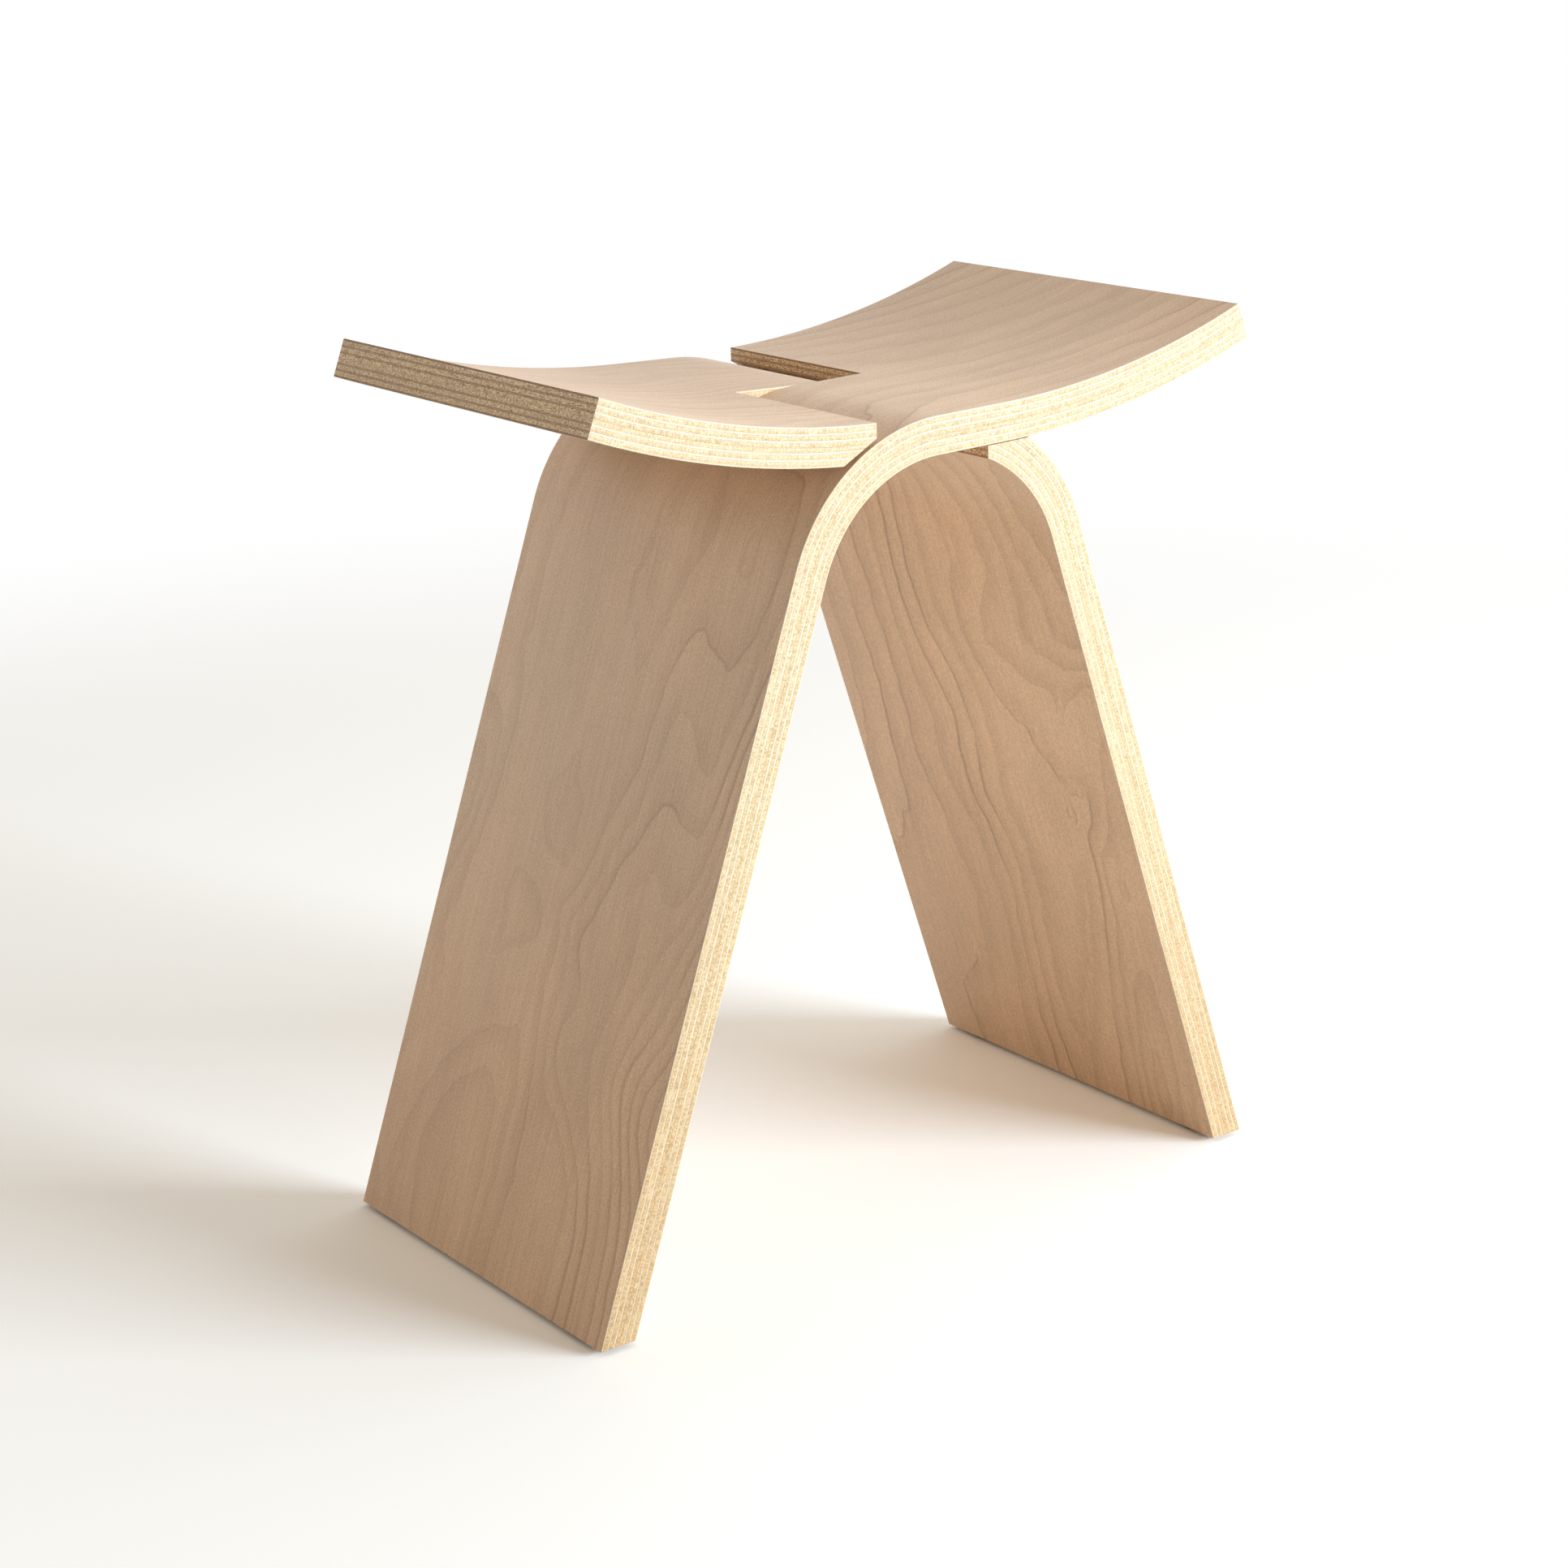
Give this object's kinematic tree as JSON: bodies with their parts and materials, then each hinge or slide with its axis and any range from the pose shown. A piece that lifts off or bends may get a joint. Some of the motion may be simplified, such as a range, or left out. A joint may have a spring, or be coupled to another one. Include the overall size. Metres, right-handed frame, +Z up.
{
  "type": "stool",
  "caption": "Low stool of interlocking moulded plywood shells that bend from sloping legs into a hollow, upswept seat.",
  "frame": {"origin": "on the floor, midway between the feet, under the lap of the shells", "axes": "+X along the seat towards the wing of the shell that stands on the -X leg, +Y from the front edge to the back edge, +Z up"},
  "size_m": [0.414, 0.2176, 0.4472],
  "materials": {
    "face_veneer": "satin lacquer",
    "long_grain_veneer": "sanded and lacquered edge",
    "cross_grain_veneer": "sanded and lacquered edge",
    "glide_plastic": "moulded",
    "nail_steel": "plain"
  },
  "bodies": {
    "left_shell": {"left_ply_01_face": "face_veneer", "left_ply_02_cross": "cross_grain_veneer", "left_ply_03_long": "long_grain_veneer", "left_ply_04_cross": "cross_grain_veneer", "left_ply_05_long": "long_grain_veneer", "left_ply_06_core": "cross_grain_veneer", "left_ply_07_core": "cross_grain_veneer", "left_ply_08_long": "long_grain_veneer", "left_ply_09_cross": "cross_grain_veneer", "left_ply_10_long": "long_grain_veneer", "left_ply_11_cross": "cross_grain_veneer", "left_ply_12_face": "face_veneer", "left_front_glide": "glide_plastic", "left_front_glide_nail": "nail_steel", "left_back_glide": "glide_plastic", "left_back_glide_nail": "nail_steel"},
    "right_shell": {"right_ply_01_face": "face_veneer", "right_ply_02_cross": "cross_grain_veneer", "right_ply_03_long": "long_grain_veneer", "right_ply_04_cross": "cross_grain_veneer", "right_ply_05_long": "long_grain_veneer", "right_ply_06_core": "cross_grain_veneer", "right_ply_07_core": "cross_grain_veneer", "right_ply_08_long": "long_grain_veneer", "right_ply_09_cross": "cross_grain_veneer", "right_ply_10_long": "long_grain_veneer", "right_ply_11_cross": "cross_grain_veneer", "right_ply_12_face": "face_veneer", "right_front_glide": "glide_plastic", "right_front_glide_nail": "nail_steel", "right_back_glide": "glide_plastic", "right_back_glide_nail": "nail_steel"}
  },
  "joints": [
    {"name": "lap_slide", "type": "slide", "parent": "left_shell", "child": "right_shell", "axis": [0, 1, 0], "range_m": [0, 0.1087]}
  ]
}
